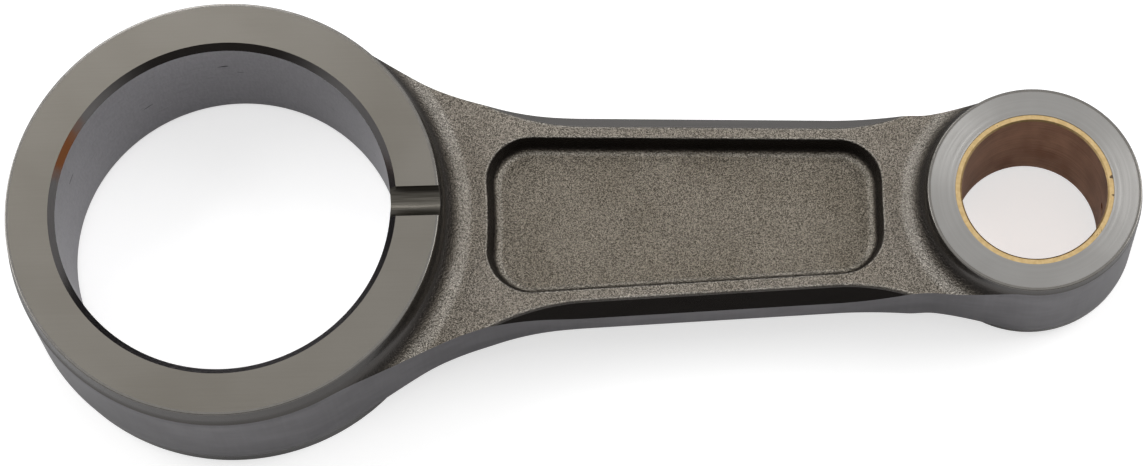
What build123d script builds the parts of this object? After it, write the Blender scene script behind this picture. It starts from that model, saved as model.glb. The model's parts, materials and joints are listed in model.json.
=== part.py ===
"""One-piece connecting rod of a small single-cylinder engine, with its bronze small-end bush.

Frame: the origin is on the big-end axis at the rod's mid-plane, +X runs to the small end, and +Z
is along both bores. The rod is the same above and below the mid-plane, so its upper half is
shaped first and then mirrored.
"""

import os
from math import atan2, cos, hypot, radians, sin, sqrt, tan

from build123d import *

# Rod length, and the width of each end across its faces
centre_distance = 100.6
big_width = 20.4
small_width = 17.0

# Big end: the crank-pin bearing runs straight in the hardened steel bore
big_bore_r = 20.9
big_bore_chamfer = 0.8
big_wall = 6.5
big_slot_width = 3.9
big_slot_depth = 1.2

# Small end: the eye holds a pressed-in bush, which the piston pin turns in
pin_bore_r = 9.0
bush_wall = 0.8
bush_inset = 0.1
bush_chamfer = 0.2
small_wall = 3.57
oil_hole_r = 0.9

# Forged ends: a flat face, a steep drafted side and a hollow foot down to the beam
end_draft = 3.7
big_rim_step = 0.37
small_rim_step = 0.13
big_foot_r = 4.4
small_foot_r = 3.9
foot_land = 0.6
foot_fill = 0.95
edge_break = 0.2

# Beam: its milled side walls taper, and above them the forged draft rises to the flat crown
crown_height = 4.0
beam_big_half = 13.4
beam_small_half = 11.72
beam_big_setback = 13.8
beam_small_setback = 0.43
crown_inset = 1.85
crown_draft = 40.0

# Flares that carry the beam out to the ends, on the milled walls and on the crown's edge; on the
# milled walls a straight run joins each flare to its round end
wall_flare_big_r = 39.5
wall_flare_small_r = 10.0
wall_run_big = 11.8
wall_run_small = 10.3
crown_flare_big_r = 35.0
crown_flare_small_r = 22.0
crown_flare_big_lead = 4.8
crown_flare_small_lead = 9.8

# Pocket in each face of the beam
pocket_depth = 2.8
pocket_big_land = 0.3
pocket_small_land = 0.6
pocket_rail = 1.45
pocket_big_corner_r = 4.5
pocket_small_corner_r = 5.5
pocket_draft = 20.0
pocket_floor_r = 1.1

# Sizes that follow from the ones above
big_r = big_bore_r + big_wall
eye_bore_r = pin_bore_r + bush_wall
small_r = eye_bore_r + small_wall
big_half = big_width / 2
small_half = small_width / 2
small_axis = (centre_distance, 0)
beam_big_x = big_r + beam_big_setback
beam_small_x = centre_distance - small_r - beam_small_setback
taper = atan2(beam_big_half - beam_small_half, beam_small_x - beam_big_x)


def side_y(x, inset=0.0):
    """Half-width of the beam's straight taper at station x, moved in by inset."""
    return beam_big_half - (x - beam_big_x) * tan(taper) - inset / cos(taper)


def flare_centre(x, radius, inset=0.0):
    """Centre of the hollow arc that touches the taper at station x from outside."""
    return (x + radius * sin(taper), side_y(x, inset) + radius * cos(taper))


def end_foot(rim_r, half_width, foot_r):
    """Radius where an end's drafted side meets crown level, the hollow foot's radius, no larger
    than the side's height lets it be, and the radius where the foot's land ends."""
    side_height = half_width - edge_break - crown_height
    corner_r = rim_r + side_height * tan(radians(end_draft))
    hollow_r = min(foot_r, foot_fill * side_height / (1 - sin(radians(end_draft))))
    return corner_r, hollow_r, corner_r + hollow_r + foot_land


def on_flare(x, centre, radius):
    """Point at station x on the near side of a hollow arc."""
    return (x, centre[1] - sqrt(radius**2 - (x - centre[0]) ** 2))


def wall_flare(axis_x, end_r, radius, run, turn):
    """Milled wall from a round end to the beam: where the straight run leaves the end, where it
    joins the flare, the flare's centre, and where the flare touches the taper. The centre lies
    at the flare's radius outside the taper, and at the reach of end, flare and run from the
    end's axis; turn is +1 at the big end and -1 at the small end."""
    reach = hypot(end_r + radius, run)
    base_x, base_y = flare_centre(axis_x, radius)
    along = (base_x - axis_x) * cos(taper) - base_y * sin(taper)
    short = (base_x - axis_x) ** 2 + base_y**2 - reach**2
    travel = -along + turn * sqrt(along**2 - short)
    centre = (base_x + travel * cos(taper), base_y - travel * sin(taper))
    swing = atan2(centre[1], centre[0] - axis_x) + turn * atan2(run, end_r + radius)
    leave = (axis_x + end_r * cos(swing), end_r * sin(swing))
    join = (centre[0] - radius * cos(swing), centre[1] - radius * sin(swing))
    touch = (centre[0] - radius * sin(taper), centre[1] - radius * cos(taper))
    return leave, join, centre, touch


def end_section(plane, rim_r, half_width, foot):
    """Half section of a forged end, from its axis out to the foot's land, above the mid-plane."""
    corner_r, hollow_r, land_r = foot
    with BuildSketch(plane) as section:
        with BuildLine():
            side = FilletPolyline(
                (land_r, crown_height),
                (corner_r, crown_height),
                (rim_r, half_width - edge_break),
                radius=hollow_r,
            )
            Polyline(
                side @ 1,
                (rim_r - edge_break, half_width),
                (0, half_width),
                (0, 0),
                (land_r, 0),
                side @ 0,
            )
        make_face()
    return section.sketch


# Milled outline: round ends, straight runs off them, hollow flares and the tapered sides
big_leave, big_join, big_flare, big_touch = wall_flare(0, big_r, wall_flare_big_r, wall_run_big, 1)
small_leave, small_join, small_flare, small_touch = wall_flare(
    centre_distance, small_r, wall_flare_small_r, wall_run_small, -1
)
big_middle_x = (big_join[0] + big_touch[0]) / 2
small_middle_x = (small_join[0] + small_touch[0]) / 2

with BuildSketch() as outline:
    with BuildLine():
        Polyline((big_leave[0], 0), big_leave, big_join)
        ThreePointArc(big_join, on_flare(big_middle_x, big_flare, wall_flare_big_r), big_touch)
        Line(big_touch, small_touch)
        ThreePointArc(
            small_touch, on_flare(small_middle_x, small_flare, wall_flare_small_r), small_join
        )
        Polyline(small_join, small_leave, (small_leave[0], 0))
        mirror(about=Plane.XZ)
    make_face()
    Circle(big_r)
    with Locations(small_axis):
        Circle(small_r)

# Feet of the two ends, and the ends of the beam's forged blank, which lie inside those feet
big_rim_r = big_r - big_rim_step
small_rim_r = small_r - small_rim_step
big_foot = end_foot(big_rim_r, big_half, big_foot_r)
small_foot = end_foot(small_rim_r, small_half, small_foot_r)
beam_start = big_rim_r - big_foot[1]
beam_end = centre_distance - small_rim_r + small_foot[1]


def beam_section(height):
    """Outline of the forged beam at a height, wider below the crown by the draft."""
    spread = (crown_height - height) * tan(radians(crown_draft))
    inset = crown_inset - spread
    big_arc_r = crown_flare_big_r - spread
    small_arc_r = crown_flare_small_r - spread
    big_x = beam_big_x + crown_flare_big_lead
    small_x = beam_small_x - crown_flare_small_lead
    big_arc = flare_centre(big_x, big_arc_r, inset)
    small_arc = flare_centre(small_x, small_arc_r, inset)
    big_corner = on_flare(beam_start, big_arc, big_arc_r)
    small_corner = on_flare(beam_end, small_arc, small_arc_r)
    with BuildSketch(Plane.XY.offset(height)) as section:
        with BuildLine():
            Line((beam_start, 0), big_corner)
            ThreePointArc(
                big_corner,
                on_flare((beam_start + big_x) / 2, big_arc, big_arc_r),
                (big_x, side_y(big_x, inset)),
            )
            Line((big_x, side_y(big_x, inset)), (small_x, side_y(small_x, inset)))
            ThreePointArc(
                (small_x, side_y(small_x, inset)),
                on_flare((beam_end + small_x) / 2, small_arc, small_arc_r),
                small_corner,
            )
            Line(small_corner, (beam_end, 0))
            mirror(about=Plane.XZ)
        make_face()
    return section.sketch


# Pocket at crown level: its big-end edge bows along the big end, and its sides follow the taper
pocket_r = big_foot[2] + pocket_big_land
pocket_end = centre_distance - small_foot[2] - pocket_small_land
pocket_inset = crown_inset + pocket_rail
pocket_half = side_y(pocket_r, pocket_inset)
pocket_corner = (sqrt(pocket_r**2 - pocket_half**2), pocket_half)
pocket_far = (pocket_end, side_y(pocket_end, pocket_inset))

with BuildSketch(Plane.XY.offset(crown_height)) as pocket:
    with BuildLine():
        ThreePointArc((pocket_corner[0], -pocket_corner[1]), (pocket_r, 0), pocket_corner)
        Polyline(
            pocket_corner,
            pocket_far,
            (pocket_far[0], -pocket_far[1]),
            (pocket_corner[0], -pocket_corner[1]),
        )
    make_face()
    fillet(pocket.vertices().group_by(Axis.X)[0], radius=pocket_big_corner_r)
    fillet(pocket.vertices().group_by(Axis.X)[-1], radius=pocket_small_corner_r)

small_plane = Plane(origin=(*small_axis, 0), x_dir=(1, 0, 0), z_dir=(0, -1, 0))
big_section = end_section(Plane.XZ, big_rim_r, big_half, big_foot)
small_section = end_section(small_plane, small_rim_r, small_half, small_foot)

with BuildPart() as rod_forging:
    # Forged blank, then its milled outline
    loft([beam_section(0), beam_section(crown_height)], ruled=True)
    revolve(big_section, axis=Axis.Z)
    revolve(small_section, axis=Axis((*small_axis, 0), (0, 0, 1)))
    extrude(outline.sketch, amount=big_half, mode=Mode.INTERSECT)

    # Pocket with a rounded floor
    extrude(pocket.sketch, amount=-pocket_depth, taper=pocket_draft, mode=Mode.SUBTRACT)
    pocket_floor = rod_forging.faces(Select.LAST).sort_by(Axis.Z)[0]
    fillet(pocket_floor.edges(), radius=pocket_floor_r)

    # Bores, the big end's lead-in chamfer, and the oil slot across its face
    with Locations((0, 0, big_half)):
        Hole(radius=big_bore_r)
    chamfer(
        rod_forging.edges().filter_by(GeomType.CIRCLE).group_by(Axis.Z)[-1].sort_by(SortBy.RADIUS)[0],
        length=big_bore_chamfer,
    )
    with Locations((*small_axis, small_half)):
        Hole(radius=eye_bore_r)
    slot_r = (big_slot_width**2 / 4 + big_slot_depth**2) / (2 * big_slot_depth)
    with BuildSketch(Plane.YZ.offset(big_bore_r - big_bore_chamfer)):
        with Locations((0, big_half - big_slot_depth + slot_r)):
            Circle(slot_r)
    extrude(amount=big_wall + 2 * big_bore_chamfer, mode=Mode.SUBTRACT)

    # Lower half, and the oil hole through the eye's far side at the mid-plane
    mirror(about=Plane.XY)
    with BuildSketch(Plane.YZ.offset(centre_distance + pin_bore_r)):
        Circle(oil_hole_r)
    extrude(amount=bush_wall + 2 * small_wall, mode=Mode.SUBTRACT)

with BuildPart() as small_end_bush:
    bush_half = small_half - bush_inset
    with BuildSketch(Plane.XY.offset(-bush_half)):
        with Locations(small_axis):
            Circle(eye_bore_r)
            Circle(pin_bore_r, mode=Mode.SUBTRACT)
    extrude(amount=2 * bush_half)
    mouths = small_end_bush.edges().filter_by(GeomType.CIRCLE)
    mouths = [edge for edge in mouths if edge.radius < eye_bore_r - bush_chamfer]
    chamfer(mouths, length=bush_chamfer)
    with BuildSketch(Plane.YZ.offset(centre_distance)):
        Circle(oil_hole_r)
    extrude(amount=eye_bore_r + small_wall, mode=Mode.SUBTRACT)

os.makedirs("parts", exist_ok=True)
rod_forging.part.label = "rod_forging"
export_step(rod_forging.part, "parts/rod_forging.step")
small_end_bush.part.label = "small_end_bush"
export_step(small_end_bush.part, "parts/small_end_bush.step")
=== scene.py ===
"""Looks of a one-piece connecting rod: a steel forging and the bronze bush in its small end.

Everything stands in the frame of the CAD model: the origin is on the big-end axis at the
mid-plane, +X runs to the small end, and +Z is along both bores. Shapes are worked out in mm.
"""

import json
from math import acos, atan2, cos, hypot, pi, radians, sin, sqrt, tan

import bmesh
import bpy
import numpy as np
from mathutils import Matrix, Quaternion, Vector


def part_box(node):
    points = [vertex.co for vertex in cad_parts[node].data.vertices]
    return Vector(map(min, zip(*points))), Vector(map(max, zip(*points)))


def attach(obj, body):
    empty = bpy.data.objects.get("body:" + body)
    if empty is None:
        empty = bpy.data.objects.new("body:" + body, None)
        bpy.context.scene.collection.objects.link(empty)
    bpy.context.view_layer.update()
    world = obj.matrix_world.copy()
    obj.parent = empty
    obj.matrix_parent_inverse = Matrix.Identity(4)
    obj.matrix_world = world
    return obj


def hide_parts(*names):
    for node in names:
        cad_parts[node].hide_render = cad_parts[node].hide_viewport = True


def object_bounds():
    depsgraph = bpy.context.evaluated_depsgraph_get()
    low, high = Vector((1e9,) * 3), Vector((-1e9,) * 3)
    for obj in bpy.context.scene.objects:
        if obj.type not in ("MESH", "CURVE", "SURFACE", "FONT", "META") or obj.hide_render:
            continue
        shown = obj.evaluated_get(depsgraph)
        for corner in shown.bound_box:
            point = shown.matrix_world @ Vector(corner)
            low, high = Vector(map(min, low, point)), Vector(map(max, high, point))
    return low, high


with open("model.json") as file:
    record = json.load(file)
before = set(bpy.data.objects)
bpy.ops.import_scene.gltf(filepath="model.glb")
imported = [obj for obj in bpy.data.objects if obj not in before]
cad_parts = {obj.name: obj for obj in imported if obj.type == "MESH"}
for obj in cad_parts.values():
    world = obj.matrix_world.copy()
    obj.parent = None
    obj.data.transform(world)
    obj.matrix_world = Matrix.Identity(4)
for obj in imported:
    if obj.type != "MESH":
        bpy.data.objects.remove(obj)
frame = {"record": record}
cad_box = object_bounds()

# ---------------------------------------------------------------- rod forging
# The rod itself, one piece of forged alloy steel. Its beam and necks are shot-peened as forged;
# the two end faces, both bores and the outline all round are machined afterwards. It has no cap
# joint, so it is threaded onto a built-up crankshaft before the crank pin is pressed in.

MM = 0.001
mounts = {mount["name"]: mount for mount in frame["record"]["mounts"]}
rod_low, rod_high = (np.array(corner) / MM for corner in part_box("rod_forging"))
bush_high = np.array(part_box("small_end_bush")[1]) / MM

centre_distance = mounts["small_end_bore"]["pos_m"][0] / MM
big_bore_r = mounts["big_end_bore"]["dims"]["r_mm"]
big_r = -rod_low[0]
big_half = rod_high[2]
small_r = rod_high[0] - centre_distance
eye_r = bush_high[1]
bush_inset = 0.1
small_half = bush_high[2] + bush_inset
bore_chamfer = 0.8
edge_break = 0.2
oil_hole_r = 0.9

# Milled outline: taper of the beam, and the flares and straight runs that lead to the ends
beam_big_half = 13.4
beam_small_half = 11.72
beam_big_x = big_r + 13.8
beam_small_x = centre_distance - small_r - 0.43
wall_flare_big_r = 39.5
wall_flare_small_r = 10.0
wall_run_big = 11.8
wall_run_small = 10.3
taper = atan2(beam_big_half - beam_small_half, beam_small_x - beam_big_x)

# Forged shape above the mid-plane: drafted ends with a hollow foot, and the beam's flat crown
crown_height = 4.0
big_rim_r = big_r - 0.37
small_rim_r = small_r - 0.13
end_draft = radians(3.7)
big_foot_r = 4.4
small_foot_r = 3.9
foot_steps = 240
crown_inset = 1.85
crown_lip_r = 0.7
flank_slope = radians(47)
crown_flare_big_r = 30.0
crown_flare_small_r = 26.0
crown_flare_big_x = beam_big_x + 3.8
crown_flare_small_x = beam_small_x - 11.2


def side_y(x, inset=0.0):
    """Half-width of the beam's taper: the half-width at its big end less the slope times the
    way along, moved in by inset across the slope."""
    return beam_big_half - (x - beam_big_x) * tan(taper) - inset / cos(taper)


def flare_centre(x, radius, inset=0.0):
    """Centre of an arc that touches the taper at station x from outside: one radius along the
    taper's outward normal."""
    return x + radius * sin(taper), side_y(x, inset) + radius * cos(taper)


def wall_flare(axis_x, end_r, radius, run, turn):
    """Milled wall from a round end to the beam. The flare's centre slides along the line one
    radius outside the taper until its distance from the end's axis is the hypotenuse of the
    straight run and the two radii. Gives the points where the run leaves the end and joins
    the flare, the flare's centre, and where the flare touches the taper."""
    reach = hypot(end_r + radius, run)
    base_x, base_y = flare_centre(axis_x, radius)
    along = (base_x - axis_x) * cos(taper) - base_y * sin(taper)
    short = (base_x - axis_x) ** 2 + base_y**2 - reach**2
    travel = -along + turn * sqrt(along**2 - short)
    centre = (base_x + travel * cos(taper), base_y - travel * sin(taper))
    swing = atan2(centre[1], centre[0] - axis_x) + turn * atan2(run, end_r + radius)
    leave = (axis_x + end_r * cos(swing), end_r * sin(swing))
    join = (centre[0] - radius * cos(swing), centre[1] - radius * sin(swing))
    touch = (centre[0] - radius * sin(taper), centre[1] - radius * cos(taper))
    return leave, join, centre, touch


big_leave, big_join, big_flare, big_touch = wall_flare(
    0, big_r, wall_flare_big_r, wall_run_big, 1
)
small_leave, small_join, small_flare, small_touch = wall_flare(
    centre_distance, small_r, wall_flare_small_r, wall_run_small, -1
)


def below_arc(x, centre, radius):
    """Height of an arc's near side at x: its centre's height less the root of radius squared
    minus distance squared."""
    return centre[1] - np.sqrt(np.maximum(radius**2 - (x - centre[0]) ** 2, 0))


def wall_y(x):
    """Half-width of the milled outline at stations x: round end, straight run, hollow flare
    and taper, then flare, run and round end again."""
    ends = (big_leave, big_join, big_touch, small_touch, small_join, small_leave)
    widths = (
        -below_arc(x, (0, 0), big_r),
        np.interp(x, *zip(big_leave, big_join)),
        below_arc(x, big_flare, wall_flare_big_r),
        side_y(x),
        below_arc(x, small_flare, wall_flare_small_r),
        np.interp(x, *zip(small_join, small_leave)),
    )
    round_end = -below_arc(x, (centre_distance, 0), small_r)
    return np.select([x < end[0] for end in ends], widths, round_end)


def crown_distance(x, y):
    """Distance outside the crown's edge, below zero on the crown. It is measured from the
    taper's line between the flares, and from each flare's arc beyond it."""
    big = flare_centre(crown_flare_big_x, crown_flare_big_r, crown_inset)
    small = flare_centre(crown_flare_small_x, crown_flare_small_r, crown_inset)
    y = np.abs(y)
    return np.select(
        [x < crown_flare_big_x, x > crown_flare_small_x],
        [
            crown_flare_big_r - np.hypot(x - big[0], y - big[1]),
            crown_flare_small_r - np.hypot(x - small[0], y - small[1]),
        ],
        (y - side_y(x, crown_inset)) * cos(taper),
    )


def crown_drop(x, y):
    """Fall below the crown's level: none on the crown, an arc round its lip, and the flank's
    straight slope past that."""
    past_lip = crown_distance(x, y) + crown_lip_r * tan(flank_slope / 2)
    on_arc = np.clip(past_lip, 0, crown_lip_r * sin(flank_slope))
    arc = crown_lip_r - np.sqrt(crown_lip_r**2 - on_arc**2)
    return arc + (past_lip - on_arc).clip(0) * tan(flank_slope)


def rounded(corners, radii, steps):
    """A line through corner points with an arc in each inner corner. The arc's centre is on the
    corner's bisector, radius / sin(half angle) away, and the arc is swept evenly."""
    corners = np.array(corners, float)
    line = [corners[:1]]
    for before, corner, after, radius in zip(corners, corners[1:], corners[2:], radii):
        back = (before - corner) / np.linalg.norm(before - corner)
        ahead = (after - corner) / np.linalg.norm(after - corner)
        half = acos(back @ ahead) / 2
        centre = corner + (back + ahead) / np.linalg.norm(back + ahead) * radius / sin(half)
        first = corner + back * radius / tan(half) - centre
        last = corner + ahead * radius / tan(half) - centre
        swing = pi - 2 * half
        part = np.linspace(0, 1, steps + 1)[:, None]
        arc = first * np.sin((1 - part) * swing) + last * np.sin(part * swing)
        line.append(centre + arc / sin(swing))
    line.append(corners[-1:])
    return np.concatenate(line)


def lengths(line):
    """Distance travelled along a line of points, from zero at its first."""
    steps = np.linalg.norm(np.diff(line, axis=0), axis=1)
    return np.concatenate([[0], np.cumsum(steps)])


def end_side(rim_r, half, foot_r):
    """Forged side of an end as a fine line of radius and height: down the draft, round the
    hollow foot, and out along the crown's level."""
    top = (rim_r, half - edge_break)
    corner = (rim_r + (half - edge_break - crown_height) * tan(end_draft), crown_height)
    outermost = (corner[0] + 3 * foot_r, crown_height)
    return rounded([top, corner, outermost], [foot_r], foot_steps)


big_side = end_side(big_rim_r, big_half, big_foot_r)
small_side = end_side(small_rim_r, small_half, small_foot_r)


def forged_height(x, y):
    """Height of the forged top between the ends: the crown's level, plus each foot's rise at
    its own radius, less the fall past the crown's edge."""
    big = np.interp(np.hypot(x, y), *big_side.T)
    small = np.interp(np.hypot(x - centre_distance, y), *small_side.T)
    return big + small - crown_height - crown_drop(x, y)


# Oil slot across the big end's face: a groove milled along X with a round-nosed cutter
slot_half = 1.95
slot_depth = 1.2
slot_r = (slot_half**2 + slot_depth**2) / (2 * slot_depth)


def slot_floor(y):
    """Height of the slot's floor, an arc of the cutter's radius about a line above the face."""
    across = np.clip(y, -slot_half, slot_half)
    return big_half - slot_depth + slot_r - np.sqrt(slot_r**2 - across**2)


def end_edge(edge_y, end_r, leave_x, split_r, key, counts):
    """Outer edge of an end's shell as angle and radius, once round from the neck's middle: an
    arc at the split radius to the key angle and on to the milled outline, then the outline back
    to the round end, and the round end. Each of these four stretches has its count of columns.
    The lower half mirrors the upper."""
    station = np.linspace(leave_x, split_r, 4001)
    corner_x = np.interp(split_r, np.hypot(station, edge_y(station)), station)
    corner = atan2(edge_y(corner_x), corner_x)
    to_key = np.linspace(0, key, counts[0], endpoint=False)
    neck = np.concatenate([to_key, np.linspace(key, corner, counts[1], endpoint=False)])
    run_x = np.linspace(corner_x, leave_x, counts[2], endpoint=False)
    back = np.linspace(atan2(edge_y(leave_x), leave_x), pi, counts[3])
    turn = np.concatenate([neck, np.arctan2(edge_y(run_x), run_x), back])
    arcs = np.full(len(neck), split_r), np.full(len(back), end_r)
    radius = np.concatenate([arcs[0], np.hypot(run_x, edge_y(run_x)), arcs[1]])
    return np.concatenate([turn, 2 * pi - turn[-2::-1]]), np.concatenate([radius, radius[-2::-1]])


def end_shell(turn, edge_r, inner, side, rows, straight_to=0.0):
    """Upper half of an end as rows by columns of x, y, z about its own axis. The inner rows are
    a turned profile; below the rim each column follows the side's line as far as its own edge
    radius. Columns up to a given angle keep one y, and past it they swing out, over a smooth
    step, to be radial."""
    travelled = lengths(side)
    along = np.linspace(0, 1, rows + 1)[1:, None] * np.interp(edge_r, side[:, 0], travelled)
    r, z = (
        np.concatenate([np.repeat(top[:, None], len(turn), 1), np.interp(along, travelled, line)])
        for top, line in zip(inner.T, side.T)
    )
    if straight_to:
        swing_out = radians(16)
        signed = (turn + pi) % (2 * pi) - pi
        release = np.clip((np.abs(signed) - straight_to) / swing_out, 0, 1)
        hold = 1 - release**2 * (3 - 2 * release)
        level = np.arcsin(np.clip(edge_r * np.sin(turn) / r, -1, 1))
        turn = signed + hold * (level - signed)
    return np.stack([r * np.cos(turn), r * np.sin(turn), z + 0 * r], -1)


class Skin:
    """Grids of points gathered into one closed skin. Each grid gives its cells a finish's
    number, and may leave cells out. The lower half is the upper one with z turned over."""

    weld = 0.002
    sharp_over = radians(28)

    def __init__(self):
        self.points, self.faces, self.finishes, self.count = [], [], [], 0

    def add(self, grid, finish, keep=True):
        rows, columns = grid.shape[:2]
        number = self.count + np.arange(rows * columns).reshape(rows, columns)
        quads = np.stack([number[:-1, :-1], number[:-1, 1:], number[1:, 1:], number[1:, :-1]], -1)
        kept = np.broadcast_to(keep, quads.shape[:2])
        self.points.append(grid.reshape(-1, 3))
        self.faces.append(quads[kept])
        self.finishes.append(np.broadcast_to(finish, quads.shape[:2])[kept])
        self.count += rows * columns

    def build(self, name):
        """The mesh object: both halves, welded where grids meet, with its faces outward."""
        points = np.concatenate(self.points) * MM
        faces = np.concatenate(self.faces)
        both_points = np.concatenate([points, points * (1, 1, -1)])
        both_faces = np.concatenate([faces, faces[:, ::-1] + len(points)])
        finishes = np.tile(np.concatenate(self.finishes), 2)
        mesh = bpy.data.meshes.new(name)
        mesh.from_pydata(both_points, [], both_faces)
        mesh.polygons.foreach_set("material_index", finishes.astype(np.int32))
        work = bmesh.new()
        work.from_mesh(mesh)
        bmesh.ops.remove_doubles(work, verts=work.verts, dist=self.weld * MM)
        unused = [vertex for vertex in work.verts if not vertex.link_faces]
        bmesh.ops.delete(work, geom=unused, context="VERTS")
        bmesh.ops.recalc_face_normals(work, faces=work.faces)
        work.to_mesh(mesh)
        work.free()
        mesh.polygons.foreach_set("use_smooth", np.ones(len(mesh.polygons), bool))
        mesh.set_sharp_from_angle(angle=self.sharp_over)
        made = bpy.data.objects.new(name, mesh)
        bpy.context.scene.collection.objects.link(made)
        return made


def across(first, last, rows):
    """Rows of cells between two lines of points, along straight lines from each point to its
    fellow: a share of one plus the rest of the other."""
    part = np.linspace(0, 1, rows + 1)[:, None, None]
    return first * (1 - part) + last * part


break_land = 0.4
break_run = 0.05
break_r = 0.12


def broken_rim(rim_r, half):
    """Outer edge of an end's face as radius and height: level, a small arc, and the break."""
    corners = [(rim_r - break_land, half), (rim_r - break_run, half), (rim_r, half - edge_break)]
    return rounded(corners, [break_r], 4)


# The oil hole takes the place of a block of cells next to the mid-plane in each round wall that
# it goes through, this many rows high and this many columns to each side of its axis.
hole_rows = 3
hole_columns = 6


def past_hole(grid, middle):
    """Which cells of a round wall's grid stay, with the hole's block in its first rows."""
    keep = np.ones((len(grid) - 1, grid.shape[1] - 1), bool)
    keep[:hole_rows, middle - hole_columns : middle + hole_columns] = False
    return keep


def hole_rim(grid, middle, radius):
    """Wall round the upper half of the oil hole, inside the block left out of a grid. Each
    point of the block's edge goes straight to the hole's circle in the Y-Z plane, and x follows
    from the wall's radius."""
    block = grid[: hole_rows + 1, middle - hole_columns : middle + hole_columns + 1]
    edge = np.concatenate([block[:, -1], block[-1, -2:0:-1], block[::-1, 0]])[:, 1:]
    around = np.arctan2(edge[:, 1], edge[:, 0])
    circle = oil_hole_r * np.stack([np.cos(around), np.sin(around)], -1)
    flat = across(edge, circle, 3)
    x = centre_distance + np.sqrt(radius**2 - flat[..., :1] ** 2)
    return np.concatenate([x, flat], -1)


PEENED, GROUND, MILLED, HONED, LAPPED, BROKEN, SLOTTED, TURNED = range(8)
rod = Skin()

# Big end: bore, lead-in chamfer, face, broken edge, and the side down into the neck
big_split_r = big_rim_r + 3.6
big_columns = (6, 26, 22, 81)
big_side_rows = 24
slot_key = np.arcsin(slot_half / big_split_r)
big_turn, big_edge_r = end_edge(wall_y, big_r, big_leave[0], big_split_r, slot_key, big_columns)
big_bore = [(big_bore_r, part * (big_half - bore_chamfer)) for part in (0, 0.3, 0.6, 0.85, 1)]
big_face_r = big_rim_r - 1
face_radii = np.linspace(big_bore_r + bore_chamfer, big_face_r, 4)
big_face = [(radius, big_half) for radius in face_radii]
big_break = broken_rim(big_rim_r, big_half)
big_inner = np.concatenate([big_bore, big_face, big_break])
big_shell = end_shell(big_turn, big_edge_r, big_inner, big_side, big_side_rows, slot_key)
beside_slot = (np.abs(big_shell[..., 1]) <= slot_half + 1e-6) & (big_shell[..., 0] > 0)
slotted_z = np.minimum(big_shell[..., 2], slot_floor(big_shell[..., 1]))
big_shell[..., 2] = np.where(beside_slot, slotted_z, big_shell[..., 2])
big_rows = [HONED] * (len(big_bore) - 1) + [LAPPED] + [GROUND] * len(big_face)
big_rows += [BROKEN] * (len(big_break) - 1) + [PEENED] * big_side_rows
big_rows = np.array(big_rows)[:, None]
row = np.arange(len(big_rows))[:, None]
in_slot = beside_slot[:-1, :-1] & beside_slot[:-1, 1:]
in_slot &= (row >= len(big_bore) - 1) & (row < len(big_inner))
rod.add(big_shell, np.where(in_slot, SLOTTED, big_rows))

# Small end: the eye, its face, broken edge and side, turned round to face the beam
small_split_r = small_rim_r + 3.4
small_columns = (6, 18, 12, 65)
small_side_rows = 18
small_turn, small_edge_r = end_edge(
    lambda x: wall_y(centre_distance - x),
    small_r,
    centre_distance - small_leave[0],
    small_split_r,
    radians(8),
    small_columns,
)
eye_steps = np.array([0, 0.08, 0.16, 0.25, 0.5, 0.75, 1])
eye_rows = len(eye_steps) - 1
eye = [(eye_r, part * small_half) for part in eye_steps[:-1]]
small_face_r = small_rim_r - 0.6
small_face = [(radius, small_half) for radius in np.linspace(eye_r, small_face_r, 4)]
small_break = broken_rim(small_rim_r, small_half)
small_inner = np.concatenate([eye, small_face, small_break])
small_shell = end_shell(small_turn, small_edge_r, small_inner, small_side, small_side_rows)
small_shell[..., 0] = centre_distance - small_shell[..., 0]
small_rows = [HONED] * eye_rows + [TURNED] * len(small_face)
small_rows += [BROKEN] * (len(small_break) - 1) + [PEENED] * small_side_rows
small_rows = np.array(small_rows)[:, None]
far = len(small_turn) // 2
rod.add(small_shell, small_rows, past_hole(small_shell, far))
eye_rim = hole_rim(small_shell, far, eye_r)
rod.add(eye_rim, HONED)

# Beam: a ring of cells from the pocket's lip out to the milled outline and the two feet
pocket_depth = 2.8
pocket_big_land = 1.18
pocket_small_land = 1.44
pocket_rail = 1.45
big_foot_end = big_side[-2, 0]
small_foot_end = small_side[-2, 0]
pocket_r = big_foot_end + pocket_big_land
pocket_end = centre_distance - small_foot_end - pocket_small_land
pocket_inset = crown_inset + pocket_rail
pocket_corner_big = 5.6
pocket_corner_small = 5.5
pocket_lip_r = 0.4
pocket_floor_r = 1.3
pocket_run = 0.62
bow_centre = -30.0
end_widening = 0.33


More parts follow.
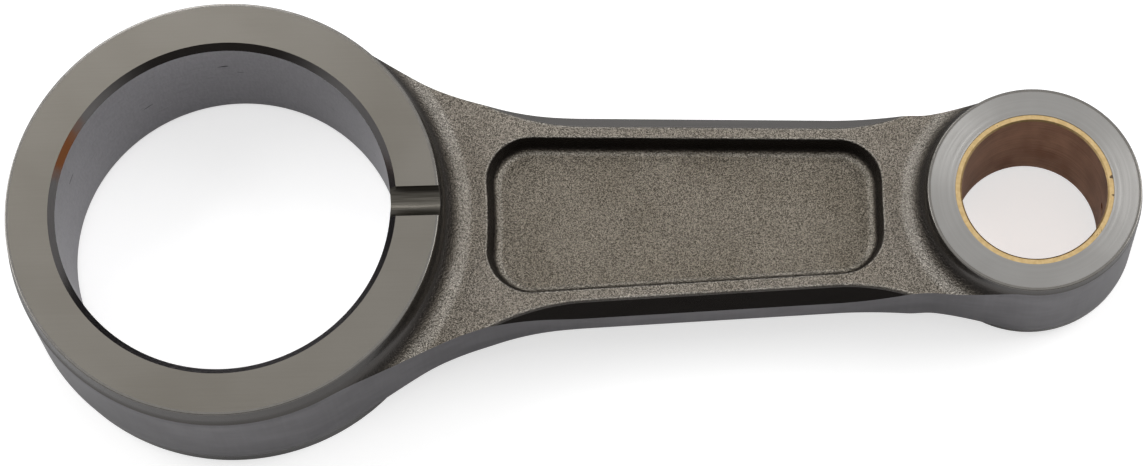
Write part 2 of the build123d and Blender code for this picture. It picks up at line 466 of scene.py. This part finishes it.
def pocket_edge():
    """Upper half of the pocket's outline as fine columns of x, y and outward normal, with the
    lengths at the middle of each corner. It bows about a centre behind the big end, rounds a
    corner, follows the taper, rounds the second corner and drops straight across. The first
    corner's centre is where the bow, grown by the corner's radius, meets the taper moved in."""
    bow_r = pocket_r - bow_centre
    slope_inset = pocket_inset + pocket_corner_big
    start_y = side_y(bow_centre, slope_inset)
    slope = tan(taper)
    reach = sqrt((bow_r + pocket_corner_big) ** 2 * (1 + slope**2) - start_y**2)
    first_x = bow_centre + (start_y * slope + reach) / (1 + slope**2)
    first = (first_x, side_y(first_x, slope_inset))
    last_x = pocket_end - pocket_corner_small
    last = (last_x, side_y(last_x, pocket_inset + pocket_corner_small))
    lean = pi / 2 - taper
    bow = atan2(first[1], first[0] - bow_centre)
    count = 200
    rows = []
    for centre, radius, begin, end, facing in (
        ((bow_centre, 0), bow_r, 0, bow, -1),
        (first, pocket_corner_big, pi + bow, lean, 1),
        (last, pocket_corner_small, lean, 0, 1),
    ):
        sweep = begin + (end - begin) * np.linspace(0, 1, count)
        normal = np.stack([np.cos(sweep), np.sin(sweep)], -1)
        rows.append(np.concatenate([np.array(centre) + radius * normal, facing * normal], -1))
    rows.append(np.array([[pocket_end, 0, 1, 0]]))
    line = np.concatenate(rows)
    travelled = lengths(line[:, :2])
    return line, travelled, travelled[count * 3 // 2], travelled[count * 5 // 2]


def pocket_at(travel):
    """Points and normals of the whole pocket outline at these lengths from the middle of its
    big-end edge; below zero and past the far middle the upper half is mirrored."""
    line, travelled = pocket_edge()[:2]
    folded = np.where(travel > travelled[-1], 2 * travelled[-1] - travel, np.abs(travel))
    lower = (travel < 0) | (travel > travelled[-1])
    found = np.stack([np.interp(folded, travelled, column) for column in line.T], -1)
    found[:, 2:] /= np.linalg.norm(found[:, 2:], axis=1)[:, None]
    found[lower] *= (1, -1, 1, -1)
    return found[:, :2], found[:, 2:]


big_neck = sum(big_columns[:2])
small_neck = sum(small_columns[:2])
beam_stations = 151
big_rim, small_rim = big_shell[-1], small_shell[-1]
beam_x = np.linspace(big_rim[big_neck, 0], small_rim[small_neck, 0], beam_stations)
beam_edge = np.stack([beam_x, wall_y(beam_x)], -1)
outer_parts = [
    np.concatenate([big_rim[-big_neck - 1 : -1, :2], big_rim[: big_neck + 1, :2]]),
    beam_edge,
    np.concatenate([small_rim[small_neck:0:-1, :2], small_rim[-1 : -small_neck - 2 : -1, :2]]),
    beam_edge[::-1] * (1, -1),
]
_, pocket_travel, first_corner, second_corner = pocket_edge()
once_round = 2 * pocket_travel[-1]
corner_marks = (
    -first_corner,
    first_corner,
    second_corner,
    once_round - second_corner,
    once_round - first_corner,
)
travel_parts = [
    begin + (end - begin) * lengths(part) / lengths(part)[-1]
    for part, begin, end in zip(outer_parts, corner_marks, corner_marks[1:])
]
outer = np.concatenate([part[:-1] for part in outer_parts] + [outer_parts[0][:1]])
travel = np.concatenate([part[:-1] for part in travel_parts] + [travel_parts[-1][-1:]])
pocket_line, pocket_normal = pocket_at(travel)
ring = across(pocket_line + pocket_lip_r * pocket_normal, outer, 28)
ring_z = forged_height(ring[..., 0], ring[..., 1])
ring = np.concatenate([ring, ring_z[..., None]], -1)
rod.add(ring, PEENED)

# Pocket: one profile carried round its outline, wider at the two ends, then its flat floor,
# which closes on a straight spine along the middle
pocket_profile = rounded(
    [
        (pocket_lip_r, crown_height),
        (0, crown_height),
        (-pocket_run, crown_height - pocket_depth),
        (-pocket_run - 1, crown_height - pocket_depth),
    ],
    [pocket_lip_r, pocket_floor_r],
    7,
)
widening = 1 + end_widening * pocket_normal[:, 0] ** 2
offset = pocket_profile[:, :1] * np.where(pocket_profile[:, :1] < 0, widening, 1)
pocket_wall = pocket_line + offset[..., None] * pocket_normal
pocket_z = np.broadcast_to(pocket_profile[:, 1, None, None], (*pocket_wall.shape[:2], 1))
pocket_wall = np.concatenate([pocket_wall, pocket_z], -1)
rod.add(pocket_wall, PEENED)
spine = pocket_wall[-1] * (1, 0, 1)
spine_big_setback = 9
spine_small_setback = 8
spine[:, 0] = spine[:, 0].clip(pocket_r + spine_big_setback, pocket_end - spine_small_setback)
rod.add(across(pocket_wall[-1], spine, 5), PEENED)

# Milled wall: straight down from every outer edge to the mid-plane
wall_steps = np.array([1, 0.8, 0.55, 0.3, 0.2, 0.1, 0])
unchanged = np.ones_like(wall_steps)
down = np.stack([unchanged, unchanged, wall_steps], -1)[:, None]
right_side = 2 * big_neck
left_side = right_side + beam_stations - 1 + 2 * small_neck
rod.add(big_rim[big_neck : len(big_turn) - big_neck] * down, MILLED)
rod.add(ring[-1, right_side : right_side + beam_stations] * down, MILLED)
rod.add(ring[-1, left_side : left_side + beam_stations] * down, MILLED)
small_wall = small_rim[small_neck : len(small_turn) - small_neck] * down
wall_far = far - small_neck
rod.add(small_wall, MILLED, past_hole(small_wall, wall_far)[::-1])
outer_rim = hole_rim(small_wall[::-1], wall_far, small_r)
rod.add(outer_rim, MILLED)
rod.add(across(outer_rim[-1], eye_rim[-1], 3), MILLED)

rod_forging = rod.build("rod_forging_skin")

# Each point keeps its distance past the crown's edge, which tells the finish where a flank is
places = np.empty(len(rod_forging.data.vertices) * 3)
rod_forging.data.vertices.foreach_get("co", places)
places = places.reshape(-1, 3) / MM
past_crown = crown_distance(places[:, 0], places[:, 1])
flank = rod_forging.data.attributes.new("flank", "FLOAT", "POINT")
flank.data.foreach_set("value", past_crown.astype(np.float32))


class Wire:
    """An output socket in a finish's nodes. Sums, differences and products of wires and numbers
    add Math nodes, and a colour is a wire or three numbers."""

    def __init__(self, tree, socket):
        self.tree, self.socket = tree, socket

    def node(self, kind, sockets, out=0, **settings):
        """Adds any other node: its settings first, then the values or wires of its sockets by
        name or number. Gives one of its outputs."""
        made = self.tree.nodes.new("ShaderNode" + kind)
        for name, value in settings.items():
            setattr(made, name, value)
        for name, value in sockets.items():
            if isinstance(value, Wire):
                self.tree.links.new(value.socket, made.inputs[name])
            else:
                made.inputs[name].default_value = value
        return Wire(self.tree, made.outputs[out])

    def math(self, operation, *values):
        return self.node("Math", dict(enumerate(values)), operation=operation)

    def __add__(self, other):
        return self.math("ADD", self, other)

    def __sub__(self, other):
        return self.math("SUBTRACT", self, other)

    def __rsub__(self, other):
        return self.math("SUBTRACT", other, self)

    def __mul__(self, other):
        return self.math("MULTIPLY", self, other)

    __radd__ = __add__
    __rmul__ = __mul__

    def along(self, axis):
        """This vector's part along X, Y or Z, by number."""
        return self.node("SeparateXYZ", {0: self}, out=axis)

    def unsigned(self):
        return self.math("ABSOLUTE", self)

    def step(self, low, high):
        """A smooth step from 0 below low to 1 above high."""
        sockets = {"Value": self, "From Min": low, "From Max": high}
        return self.node("MapRange", sockets, interpolation_type="SMOOTHSTEP")

    def noise(self, scale, detail=3.0, stretch=(1, 1, 1)):
        """Noise of about one grain every 1 / scale mm, drawn out along an axis whose factor is
        below 1 and packed closer where it is above."""
        place = self.node("VectorMath", {0: self, 1: stretch}, operation="MULTIPLY")
        return self.node("TexNoise", {"Vector": place, "Scale": scale, "Detail": detail})

    def blend(self, first, second):
        """Two colours, mixed by this wire."""
        first, second = (end if isinstance(end, Wire) else (*end, 1) for end in (first, second))
        sockets = {0: self, 6: first, 7: second}
        return self.node("Mix", sockets, out=2, data_type="RGBA", clamp_factor=True)

    def times(self, colour):
        """This colour times another wire's, channel by channel."""
        sockets = {0: 1.0, 6: self, 7: colour}
        return self.node("Mix", sockets, out=2, data_type="RGBA", blend_type="MULTIPLY")


def start_finish(name):
    """A new finish, metal unless it is changed later, and its place on the piece in millimetres
    as a wire."""
    material = bpy.data.materials.new(name)
    material.use_nodes = True
    tree = material.node_tree
    tree.nodes["Principled BSDF"].inputs["Metallic"].default_value = 1.0
    place = Wire(tree, tree.nodes.new("ShaderNodeTexCoord").outputs["Object"])
    return material, place.node("VectorMath", {0: place, "Scale": 1 / MM}, operation="SCALE")


def set_surface(material, **sockets):
    """Puts wires or values on the finish's shader, by socket name with _ for a space."""
    shader = material.node_tree.nodes["Principled BSDF"]
    for name, value in sockets.items():
        socket = shader.inputs[name.replace("_", " ")]
        if isinstance(value, Wire):
            material.node_tree.links.new(value.socket, socket)
        else:
            socket.default_value = value


def relief(height, depth):
    """The normal of a height wire from 0 to 1 that stands depth millimetres proud."""
    return height.node("Bump", {"Height": height, "Distance": depth * MM, "Strength": 1.0})


def peened_steel():
    """Shot-peened forging: small round dents over a rough grain, browned a little in patches.
    Steep walls are darkened as painted shade, lips and hollows a little off level are lightened
    as a painted sheen, and the pocket's floor is darkened as painted shade. The flanks below the
    crown's edge and the tops of the ends' sides are dressed smooth."""
    material, place = start_finish("peened_steel")
    off_crown = place.node("Attribute", {}, out=2, attribute_name="flank").step(0.0, 0.3)
    height = place.along(2).unsigned()
    up_the_sides = height.step(5.4, 7.0)
    dressed = off_crown.math("MAXIMUM", off_crown, up_the_sides)
    rough = 1 - dressed
    level = place.node("NewGeometry", {}, out=1).along(2).unsigned()
    # Painted shade: the steeper a face stands, the nearer its base colour goes to near-black steel.
    clear_of_painted_shade = level.step(0.58, 0.94)
    # Painted sheen: faces tilted about 15 to 40 degrees off level get lighter steel.
    painted_sheen = level.step(0.74, 0.88) * (1 - level.step(0.955, 0.995)) * 0.7
    grain = place.noise(4.4, 2.0)
    dents = place.node("TexVoronoi", {"Vector": place, "Scale": 3.4}, feature="SMOOTH_F1")
    fine = place.noise(8.2, 2.0)
    surface = grain * 0.7 + dents * 0.5 + fine * 0.35
    tint = (grain * 0.35 + fine * 0.65).step(0.38, 0.62)
    steel = tint.blend((0.060, 0.053, 0.044), (0.318, 0.285, 0.242))
    # Lighter copy of the steel, used as a painted sheen.
    painted_sheen_steel = tint.blend((0.150, 0.138, 0.120), (0.480, 0.450, 0.405))
    # Near-black painted shade on steep faces; gently tilted faces take the painted sheen steel.
    steel = clear_of_painted_shade.blend((0.044, 0.039, 0.035), painted_sheen.blend(steel, painted_sheen_steel))
    stained = place.noise(0.11, 2.0).step(0.4, 0.7).blend((1, 1, 1), (0.86, 0.85, 0.83))
    # Painted shade: the pocket's floor, lying low near the mid-plane, is darkened.
    painted_pocket_shade = height.step(1.4, 3.6).blend((0.86, 0.85, 0.82), (1, 1, 1))
    steel = steel.times(stained).times(painted_pocket_shade)
    strokes = place.noise(0.5, 3.0, (0.3, 1, 2))
    smooth = strokes.blend((0.084, 0.078, 0.074), (0.115, 0.107, 0.101))
    set_surface(
        material,
        Base_Color=dressed.blend(steel, smooth),
        Roughness=rough * (0.06 + 0.14 * fine) + 0.25,
        Normal=relief(surface * (rough + 0.01), 0.2),
    )
    return material


def ground_steel():
    """Ground face: fine lines nearly along X that tilt the surface a little, and faint cloudy
    patches left by the stone."""
    material, place = start_finish("ground_steel")
    lines = place.noise(1.0, 4.0, (0.12, 5, 1))
    cloud = place.noise(0.07, 2.0)
    tint = (0.25 * lines + 0.75 * cloud).step(0.3, 0.7)
    set_surface(
        material,
        Base_Color=tint.blend((0.178, 0.165, 0.143), (0.200, 0.187, 0.165)),
        Roughness=0.28 + 0.02 * lines + 0.05 * cloud,
        Normal=relief(lines, 0.0007),
    )
    return material


def milled_steel():
    """Milled outline: the cutter's faint marks stand along the bore axis, with long soft stains
    across them."""
    material, place = start_finish("milled_steel")
    marks = place.noise(1.6, 2.0, (1, 1, 0.06))
    stains = place.noise(0.16, 3.0, (1, 1, 2.5))
    tint = (0.2 * marks + 0.8 * stains).step(0.3, 0.7)
    set_surface(
        material,
        Base_Color=tint.blend((0.162, 0.155, 0.165), (0.226, 0.217, 0.230)),
        Roughness=0.3 + 0.12 * stains,
        Normal=relief(marks, 0.002),
    )
    return material


def honed_steel():
    """Honed bore: a fine cross-hatch round the bore, and one or two hairline scratches."""
    material, place = start_finish("honed_steel")
    one_way = place.noise(1.0, 2.0, (0.4, 0.4, 9))
    other_way = place.noise(1.3, 2.0, (3, 3, 0.8))
    scratch = place.noise(0.22, 1.0, (1, 1, 5)).step(0.765, 0.775)
    tint = (0.5 * one_way + 0.5 * other_way).step(0.3, 0.7)
    steel = tint.blend((0.410, 0.400, 0.422), (0.520, 0.508, 0.532))
    set_surface(
        material,
        Base_Color=scratch.blend(steel, (0.05, 0.05, 0.055)),
        Roughness=0.24 + 0.12 * one_way,
        Normal=relief(one_way * 0.6 + other_way * 0.4, 0.004),
    )
    return material


def lapped_steel():
    """Polished lead-in chamfer, with faint turning rings and a brown patch of dried oil."""
    material, place = start_finish("lapped_steel")
    rings = place.noise(1.5, 2.0, (0.5, 0.5, 6))
    patch = (-20.0, 8.0, 10.0)
    off_patch = place.node("VectorMath", {0: place, 1: patch}, out=1, operation="DISTANCE")
    oil = 1 - (off_patch * 0.1 + 0.5 * place.noise(0.5)).step(0.4, 0.8)
    steel = rings.blend((0.160, 0.152, 0.148), (0.220, 0.211, 0.205))
    set_surface(
        material,
        Base_Color=oil.blend(steel, (0.26, 0.10, 0.04)),
        Roughness=0.08 + 0.06 * rings,
        Normal=relief(rings, 0.002),
    )
    return material


def broken_steel():
    """Edges broken by hand with a stone: satin, a little uneven."""
    material, place = start_finish("broken_steel")
    strokes = place.noise(1.2, 3.0, (1, 1, 4))
    set_surface(
        material,
        Base_Color=strokes.blend((0.17, 0.161, 0.148), (0.24, 0.229, 0.213)),
        Roughness=0.18 + 0.08 * strokes,
        Normal=relief(strokes, 0.004),
    )
    return material


def slotted_steel():
    """Oil slot: long feed marks of the round-nosed cutter, along the slot."""
    material, place = start_finish("slotted_steel")
    feed = place.noise(1.0, 3.0, (0.15, 5, 1))
    set_surface(
        material,
        Base_Color=feed.step(0.3, 0.7).blend((0.080, 0.074, 0.062), (0.140, 0.130, 0.114)),
        Roughness=0.26 + 0.1 * feed,
        Normal=relief(feed, 0.012),
    )
    return material


def turned_steel():
    """Turned face of the small end. The tool's rings lean the surface outward from the eye by a
    few degrees, a little more or less with noise read along the radius alone, which gives the
    face its fanned sheen."""
    material, place = start_finish("turned_steel")
    centre = (centre_distance, 0, 0)
    outward = place.node("VectorMath", {0: place, 1: centre}, operation="SUBTRACT")
    outward = place.node("VectorMath", {0: outward, 1: (1, 1, 0)}, operation="MULTIPLY")
    radius = place.node("VectorMath", {0: outward}, out=1, operation="LENGTH")
    ring = place.node("TexNoise", {"W": radius, "Scale": 2.6, "Detail": 2.0}, noise_dimensions="1D")
    lean = place.node("VectorMath", {0: outward}, operation="NORMALIZE")
    lean = place.node("VectorMath", {0: lean, "Scale": 0.07 + 0.1 * ring}, operation="SCALE")
    upright = place.node("NewGeometry", {}, out=1)
    normal = place.node("VectorMath", {0: upright, 1: lean}, operation="ADD")
    normal = place.node("VectorMath", {0: normal}, operation="NORMALIZE")
    cloud = place.noise(0.2, 2.0)
    tint = (0.4 * ring + 0.6 * cloud).step(0.3, 0.7)
    set_surface(
        material,
        Base_Color=tint.blend((0.30, 0.292, 0.280), (0.33, 0.322, 0.310)),
        Roughness=0.27 + 0.05 * cloud,
        Normal=normal,
    )
    return material


rod_finishes = (
    peened_steel,
    ground_steel,
    milled_steel,
    honed_steel,
    lapped_steel,
    broken_steel,
    slotted_steel,
    turned_steel,
)
for make in rod_finishes:
    rod_forging.data.materials.append(make())
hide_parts("rod_forging")
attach(rod_forging, "root")

# ---------------------------------------------------------------- small-end bush
# A thin bronze sleeve, pressed into the eye a shade below its faces and then fine-bored for the
# piston pin. A radial oil hole goes through it on the side away from the big end.

pin_bore_r = mounts["small_end_bore"]["dims"]["r_mm"]
bush_half = bush_high[2]
mouth_chamfer = 0.2
outer_ease = 0.03
BORED, RIM = range(2)

bush_columns = 216
bush_turn = np.linspace(0, 2 * pi, bush_columns + 1)
bored_top = bush_half - mouth_chamfer
pressed_top = bush_half - outer_ease
bush_profile = np.array(
    [(pin_bore_r, part * bored_top) for part in eye_steps]
    + [(pin_bore_r + mouth_chamfer, bush_half), (eye_r - outer_ease, bush_half)]
    + [(eye_r, part * pressed_top) for part in eye_steps[::-1]]
)
bush_grid = np.stack(
    [
        centre_distance - bush_profile[:, :1] * np.cos(bush_turn),
        bush_profile[:, :1] * np.sin(bush_turn),
        np.repeat(bush_profile[:, 1:], len(bush_turn), 1),
    ],
    -1,
)
bush_rows = np.array([BORED] * eye_rows + [RIM] * 3 + [BORED] * eye_rows)[:, None]
bush_far = bush_columns // 2
keep = past_hole(bush_grid, bush_far)
bush = Skin()
bush.add(bush_grid, bush_rows, keep & keep[::-1])
bored_rim = hole_rim(bush_grid, bush_far, pin_bore_r)
pressed_rim = hole_rim(bush_grid[::-1], bush_far, eye_r)
bush.add(bored_rim, BORED)
bush.add(pressed_rim, BORED)
bush.add(across(pressed_rim[-1], bored_rim[-1], 3), BORED)
small_end_bush = bush.build("small_end_bush_skin")


def bored_bronze():
    """Fine-bored inside: brown bronze with close turning rings and darker smears of oil."""
    material, place = start_finish("bored_bronze")
    rings = place.noise(1.0, 2.0, (0.2, 0.2, 8))
    smears = place.noise(0.25, 3.0, (1, 1, 0.5))
    tint = (0.4 * rings + 0.6 * smears).step(0.3, 0.7)
    set_surface(
        material,
        Base_Color=tint.blend((0.370, 0.200, 0.122), (0.700, 0.470, 0.345)),
        Roughness=0.28 + 0.14 * smears,
        Normal=relief(rings, 0.006),
    )
    return material


def rim_bronze():
    """Faced end of the bush: bright yellow bronze, with small dark nicks where it was pressed."""
    material, place = start_finish("rim_bronze")
    grain = place.noise(1.8, 3.0)
    nicks = place.noise(0.9, 2.0, (1, 1, 0.2)).step(0.66, 0.72)
    gold = grain.step(0.25, 0.75).blend((0.54, 0.38, 0.175), (0.64, 0.47, 0.24))
    set_surface(
        material,
        Base_Color=nicks.blend(gold, (0.12, 0.08, 0.05)),
        Roughness=0.3 + 0.12 * grain,
        Normal=relief(grain, 0.006),
    )
    return material


for make in (bored_bronze, rim_bronze):
    small_end_bush.data.materials.append(make())
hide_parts("small_end_bush")
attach(small_end_bush, "root")

# ---------------------------------------------------------------- floor, light and camera
# A plain pale floor under the big end's lower face, which glows for the camera alone. Overhead
# is a softbox, with a small one to each side and a key lamp behind, and in front the studio is
# dark, which the flanks and chamfers that face it reflect.

floor_half = 3.0
floor_mesh = bpy.data.meshes.new("floor")
floor_z = cad_box[0].z
corners = [(x * floor_half, y * floor_half, floor_z) for x, y in ((-1, -1), (1, -1), (1, 1), (-1, 1))]
floor_mesh.from_pydata(corners, [], [(0, 1, 2, 3)])
floor = bpy.data.objects.new("floor", floor_mesh)
bpy.context.scene.collection.objects.link(floor)
paint, paint_place = start_finish("pale_floor")
set_surface(
    paint,
    Metallic=0.0,
    Roughness=0.7,
    Emission_Color=paint_place.node("LightPath", {}).blend((0, 0, 0), (1, 1, 1)),
    Emission_Strength=0.6,
    Base_Color=paint_place.noise(0.01, 2.0).blend((0.59, 0.59, 0.59), (0.61, 0.61, 0.61)),
)
floor_mesh.materials.append(paint)

middle = (cad_box[0] + cad_box[1]) / 2
for name, place, size, power in (
    ("overhead", (0.00, 0.30, 0.95), (1.60, 1.30), 1.75),
    ("left", (-0.42, 0.12, 0.36), (0.28, 0.28), 1.1),
    ("right", (0.42, 0.12, 0.36), (0.28, 0.28), 1.2),
    ("key", (-0.20, 0.52, 0.68), (0.20, 0.20), 0.7),
):
    lamp = bpy.data.lights.new(name, "AREA")
    lamp.shape = "RECTANGLE"
    lamp.size, lamp.size_y = size
    lamp.energy = power
    holder = bpy.data.objects.new(name, lamp)
    holder.location = middle + Vector(place)
    holder.rotation_euler = Vector(place).to_track_quat("Z", "Y").to_euler()
    bpy.context.scene.collection.objects.link(holder)

world = bpy.data.worlds.new("studio")
bpy.context.scene.world = world
world.use_nodes = True
sky = world.node_tree
facing = Wire(sky, sky.nodes.new("ShaderNodeTexCoord").outputs["Generated"])
toward_back = facing.along(1)
upward = facing.along(2)
dark_front = (0 - toward_back).step(0.4, 0.85) * (1 - upward.step(0.4, 0.75))
shade = upward.step(0.05, 0.6).blend((0.44, 0.44, 0.45), (0.60, 0.60, 0.60))
shade = dark_front.blend(shade, (0.066, 0.061, 0.058))
seen_by_camera = facing.node("LightPath", {})
shade = seen_by_camera.blend(shade, (0.9, 0.9, 0.9))
sky.links.new(shade.socket, sky.nodes["Background"].inputs["Color"])

camera = bpy.data.objects.new("camera", bpy.data.cameras.new("camera"))
bpy.context.scene.collection.objects.link(camera)
camera.data.lens = 126.86
camera.data.sensor_width = 36.0
camera_target = Vector((0.04324, -0.00128, 0.0))
camera_distance = 0.50858
camera_azimuth = radians(5.192)
camera_elevation = radians(71.029)
camera_roll = radians(-6.400)
back = Vector(
    (
        sin(camera_azimuth) * cos(camera_elevation),
        -cos(camera_azimuth) * cos(camera_elevation),
        sin(camera_elevation),
    )
)
camera.location = camera_target + back * camera_distance
camera.rotation_euler = (back.to_track_quat("Z", "Y") @ Quaternion((0, 0, 1), camera_roll)).to_euler()
bpy.context.scene.camera = camera
bpy.context.scene.view_settings.view_transform = "Standard"
